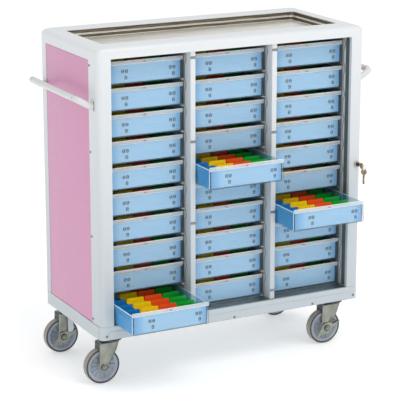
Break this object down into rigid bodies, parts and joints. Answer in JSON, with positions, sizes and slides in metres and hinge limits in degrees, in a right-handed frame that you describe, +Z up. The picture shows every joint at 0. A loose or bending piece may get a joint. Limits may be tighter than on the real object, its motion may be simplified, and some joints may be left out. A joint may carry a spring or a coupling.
{
  "type": "medication cart",
  "caption": "Ward medication cart on swivel casters: a painted steel frame with columns of clear labelled drawers, a stainless worktop tray, side handles and a key lock.",
  "frame": {"origin": "on the floor, at the middle of the whole cart's box as it stands with three drawers partly pulled out", "axes": "+X to the cart's right seen from its drawers, -Y out of the drawer front, +Z up"},
  "size_m": [1.1448, 0.611, 1.1622],
  "materials": {
    "white_paint": "smooth off-white powder coat",
    "pink_paint": "satin pink powder coat",
    "grey_paint": "light grey powder coat on bent tube",
    "stainless_sheet": "pressed stainless sheet, fine brushed",
    "clear_plastic": "clear moulded drawer plastic",
    "label_card": "light blue printed card behind the drawer front",
    "divider_blue": "blue moulded divider",
    "divider_yellow": "yellow moulded divider",
    "divider_orange": "orange-red moulded divider",
    "divider_green": "green moulded divider",
    "runner_plastic": "grey moulded runner plastic",
    "zinc_plate": "bright zinc plate on pressed steel",
    "brass": "worn nickel silver and brass",
    "grey_rubber": "grey rubber tyre",
    "wheel_disc": "light grey moulded wheel disc",
    "dark_steel": "blackened screws and dark recesses"
  },
  "bodies": {
    "cart": {"front_left_post": "white_paint", "front_right_post": "white_paint", "rear_left_post": "white_paint", "rear_right_post": "white_paint", "base_frame": "white_paint", "top_rim": "white_paint", "left_mid_post": "white_paint", "right_mid_post": "white_paint", "back_panel": "white_paint", "left_side_panel": "pink_paint", "right_side_panel": "pink_paint", "worktop_tray": "stainless_sheet", "left_runner_wall": "runner_plastic", "mid_left_runner_wall": "runner_plastic", "mid_right_runner_wall": "runner_plastic", "right_runner_wall": "runner_plastic", "left_handle": "grey_paint", "right_handle": "grey_paint"},
    "front_left_caster": {"front_left_fork": "zinc_plate"},
    "front_left_wheel": {"front_left_wheel": "grey_rubber"},
    "front_right_caster": {"front_right_fork": "zinc_plate"},
    "front_right_wheel": {"front_right_wheel": "grey_rubber"},
    "rear_left_caster": {"rear_left_fork": "zinc_plate"},
    "rear_left_wheel": {"rear_left_wheel": "grey_rubber"},
    "rear_right_caster": {"rear_right_fork": "zinc_plate"},
    "rear_right_wheel": {"rear_right_wheel": "grey_rubber"},
    "front_right_brake": {"front_right_brake": "zinc_plate"},
    "rear_left_brake": {"rear_left_brake": "zinc_plate"},
    "lock": {"lock_barrel": "zinc_plate", "key": "brass"},
    "drawer_r01_c1": {"drawer_r01_c1": "clear_plastic"},
    "drawer_r01_c2": {"drawer_r01_c2": "clear_plastic"},
    "drawer_r01_c3": {"drawer_r01_c3": "clear_plastic"},
    "drawer_r02_c1": {"drawer_r02_c1": "clear_plastic"},
    "drawer_r02_c2": {"drawer_r02_c2": "clear_plastic"},
    "drawer_r02_c3": {"drawer_r02_c3": "clear_plastic"},
    "drawer_r03_c1": {"drawer_r03_c1": "clear_plastic"},
    "drawer_r03_c2": {"drawer_r03_c2": "clear_plastic"},
    "drawer_r03_c3": {"drawer_r03_c3": "clear_plastic"},
    "drawer_r04_c1": {"drawer_r04_c1": "clear_plastic"},
    "drawer_r04_c2": {"drawer_r04_c2": "clear_plastic"},
    "drawer_r04_c3": {"drawer_r04_c3": "clear_plastic"},
    "drawer_r05_c1": {"drawer_r05_c1": "clear_plastic"},
    "drawer_r05_c2": {"drawer_r05_c2": "clear_plastic"},
    "drawer_r05_c3": {"drawer_r05_c3": "clear_plastic"},
    "drawer_r06_c1": {"drawer_r06_c1": "clear_plastic"},
    "drawer_r06_c2": {"drawer_r06_c2": "clear_plastic"},
    "drawer_r06_c3": {"drawer_r06_c3": "clear_plastic"},
    "drawer_r07_c1": {"drawer_r07_c1": "clear_plastic"},
    "drawer_r07_c2": {"drawer_r07_c2": "clear_plastic"},
    "drawer_r07_c3": {"drawer_r07_c3": "clear_plastic"},
    "drawer_r08_c1": {"drawer_r08_c1": "clear_plastic"},
    "drawer_r08_c2": {"drawer_r08_c2": "clear_plastic"},
    "drawer_r08_c3": {"drawer_r08_c3": "clear_plastic"},
    "drawer_r09_c1": {"drawer_r09_c1": "clear_plastic"},
    "drawer_r09_c2": {"drawer_r09_c2": "clear_plastic"},
    "drawer_r09_c3": {"drawer_r09_c3": "clear_plastic"},
    "drawer_r10_c1": {"drawer_r10_c1": "clear_plastic"},
    "drawer_r10_c2": {"drawer_r10_c2": "clear_plastic"},
    "drawer_r10_c3": {"drawer_r10_c3": "clear_plastic"}
  },
  "joints": [
    {"name": "front_left_swivel", "type": "hinge", "parent": "cart", "child": "front_left_caster", "pos_m": [-0.4405, -0.1075, 0.155], "axis": [0, 0, 1], "continuous": true},
    {"name": "front_left_spin", "type": "hinge", "parent": "front_left_caster", "child": "front_left_wheel", "pos_m": [-0.4805, -0.1075, 0.0625], "axis": [0, 1, 0], "continuous": true},
    {"name": "front_right_swivel", "type": "hinge", "parent": "cart", "child": "front_right_caster", "pos_m": [0.4405, -0.1075, 0.155], "axis": [0, 0, 1], "continuous": true},
    {"name": "front_right_spin", "type": "hinge", "parent": "front_right_caster", "child": "front_right_wheel", "pos_m": [0.4005, -0.1075, 0.0625], "axis": [0, 1, 0], "continuous": true},
    {"name": "rear_left_swivel", "type": "hinge", "parent": "cart", "child": "rear_left_caster", "pos_m": [-0.4405, 0.2425, 0.155], "axis": [0, 0, 1], "continuous": true},
    {"name": "rear_left_spin", "type": "hinge", "parent": "rear_left_caster", "child": "rear_left_wheel", "pos_m": [-0.4805, 0.2425, 0.0625], "axis": [0, 1, 0], "continuous": true},
    {"name": "rear_right_swivel", "type": "hinge", "parent": "cart", "child": "rear_right_caster", "pos_m": [0.4405, 0.2425, 0.155], "axis": [0, 0, 1], "continuous": true},
    {"name": "rear_right_spin", "type": "hinge", "parent": "rear_right_caster", "child": "rear_right_wheel", "pos_m": [0.4005, 0.2425, 0.0625], "axis": [0, 1, 0], "continuous": true},
    {"name": "front_right_brake_rock", "type": "hinge", "parent": "front_right_caster", "child": "front_right_brake", "pos_m": [0.4005, -0.1075, 0.0625], "axis": [0, 1, 0], "range_deg": [0, 14]},
    {"name": "rear_left_brake_rock", "type": "hinge", "parent": "rear_left_caster", "child": "rear_left_brake", "pos_m": [-0.4805, 0.2425, 0.0625], "axis": [0, 1, 0], "range_deg": [0, 14]},
    {"name": "lock_turn", "type": "hinge", "parent": "cart", "child": "lock", "pos_m": [0.4903, -0.1705, 0.6696], "axis": [0, 1, 0], "range_deg": [0, 90]},
    {"name": "drawer_r01_c1_slide", "type": "slide", "parent": "cart", "child": "drawer_r01_c1", "axis": [0, -1, 0], "range_m": [0, 0.3]},
    {"name": "drawer_r01_c2_slide", "type": "slide", "parent": "cart", "child": "drawer_r01_c2", "axis": [0, -1, 0], "range_m": [0, 0.3]},
    {"name": "drawer_r01_c3_slide", "type": "slide", "parent": "cart", "child": "drawer_r01_c3", "axis": [0, -1, 0], "range_m": [0, 0.3]},
    {"name": "drawer_r02_c1_slide", "type": "slide", "parent": "cart", "child": "drawer_r02_c1", "axis": [0, -1, 0], "range_m": [0, 0.3]},
    {"name": "drawer_r02_c2_slide", "type": "slide", "parent": "cart", "child": "drawer_r02_c2", "axis": [0, -1, 0], "range_m": [0, 0.3]},
    {"name": "drawer_r02_c3_slide", "type": "slide", "parent": "cart", "child": "drawer_r02_c3", "axis": [0, -1, 0], "range_m": [0, 0.3]},
    {"name": "drawer_r03_c1_slide", "type": "slide", "parent": "cart", "child": "drawer_r03_c1", "axis": [0, -1, 0], "range_m": [0, 0.3]},
    {"name": "drawer_r03_c2_slide", "type": "slide", "parent": "cart", "child": "drawer_r03_c2", "axis": [0, -1, 0], "range_m": [0, 0.3]},
    {"name": "drawer_r03_c3_slide", "type": "slide", "parent": "cart", "child": "drawer_r03_c3", "axis": [0, -1, 0], "range_m": [0, 0.3]},
    {"name": "drawer_r04_c1_slide", "type": "slide", "parent": "cart", "child": "drawer_r04_c1", "axis": [0, -1, 0], "range_m": [0, 0.3]},
    {"name": "drawer_r04_c2_slide", "type": "slide", "parent": "cart", "child": "drawer_r04_c2", "axis": [0, -1, 0], "range_m": [0, 0.3]},
    {"name": "drawer_r04_c3_slide", "type": "slide", "parent": "cart", "child": "drawer_r04_c3", "axis": [0, -1, 0], "range_m": [0, 0.3]},
    {"name": "drawer_r05_c1_slide", "type": "slide", "parent": "cart", "child": "drawer_r05_c1", "axis": [0, -1, 0], "range_m": [0, 0.3]},
    {"name": "drawer_r05_c2_slide", "type": "slide", "parent": "cart", "child": "drawer_r05_c2", "axis": [0, -1, 0], "range_m": [-0.142, 0.158]},
    {"name": "drawer_r05_c3_slide", "type": "slide", "parent": "cart", "child": "drawer_r05_c3", "axis": [0, -1, 0], "range_m": [0, 0.3]},
    {"name": "drawer_r06_c1_slide", "type": "slide", "parent": "cart", "child": "drawer_r06_c1", "axis": [0, -1, 0], "range_m": [0, 0.3]},
    {"name": "drawer_r06_c2_slide", "type": "slide", "parent": "cart", "child": "drawer_r06_c2", "axis": [0, -1, 0], "range_m": [0, 0.3]},
    {"name": "drawer_r06_c3_slide", "type": "slide", "parent": "cart", "child": "drawer_r06_c3", "axis": [0, -1, 0], "range_m": [0, 0.3]},
    {"name": "drawer_r07_c1_slide", "type": "slide", "parent": "cart", "child": "drawer_r07_c1", "axis": [0, -1, 0], "range_m": [0, 0.3]},
    {"name": "drawer_r07_c2_slide", "type": "slide", "parent": "cart", "child": "drawer_r07_c2", "axis": [0, -1, 0], "range_m": [0, 0.3]},
    {"name": "drawer_r07_c3_slide", "type": "slide", "parent": "cart", "child": "drawer_r07_c3", "axis": [0, -1, 0], "range_m": [-0.167, 0.133]},
    {"name": "drawer_r08_c1_slide", "type": "slide", "parent": "cart", "child": "drawer_r08_c1", "axis": [0, -1, 0], "range_m": [0, 0.3]},
    {"name": "drawer_r08_c2_slide", "type": "slide", "parent": "cart", "child": "drawer_r08_c2", "axis": [0, -1, 0], "range_m": [0, 0.3]},
    {"name": "drawer_r08_c3_slide", "type": "slide", "parent": "cart", "child": "drawer_r08_c3", "axis": [0, -1, 0], "range_m": [0, 0.3]},
    {"name": "drawer_r09_c1_slide", "type": "slide", "parent": "cart", "child": "drawer_r09_c1", "axis": [0, -1, 0], "range_m": [0, 0.3]},
    {"name": "drawer_r09_c2_slide", "type": "slide", "parent": "cart", "child": "drawer_r09_c2", "axis": [0, -1, 0], "range_m": [0, 0.3]},
    {"name": "drawer_r09_c3_slide", "type": "slide", "parent": "cart", "child": "drawer_r09_c3", "axis": [0, -1, 0], "range_m": [0, 0.3]},
    {"name": "drawer_r10_c1_slide", "type": "slide", "parent": "cart", "child": "drawer_r10_c1", "axis": [0, -1, 0], "range_m": [-0.19, 0.11]},
    {"name": "drawer_r10_c2_slide", "type": "slide", "parent": "cart", "child": "drawer_r10_c2", "axis": [0, -1, 0], "range_m": [0, 0.3]},
    {"name": "drawer_r10_c3_slide", "type": "slide", "parent": "cart", "child": "drawer_r10_c3", "axis": [0, -1, 0], "range_m": [0, 0.3]}
  ]
}
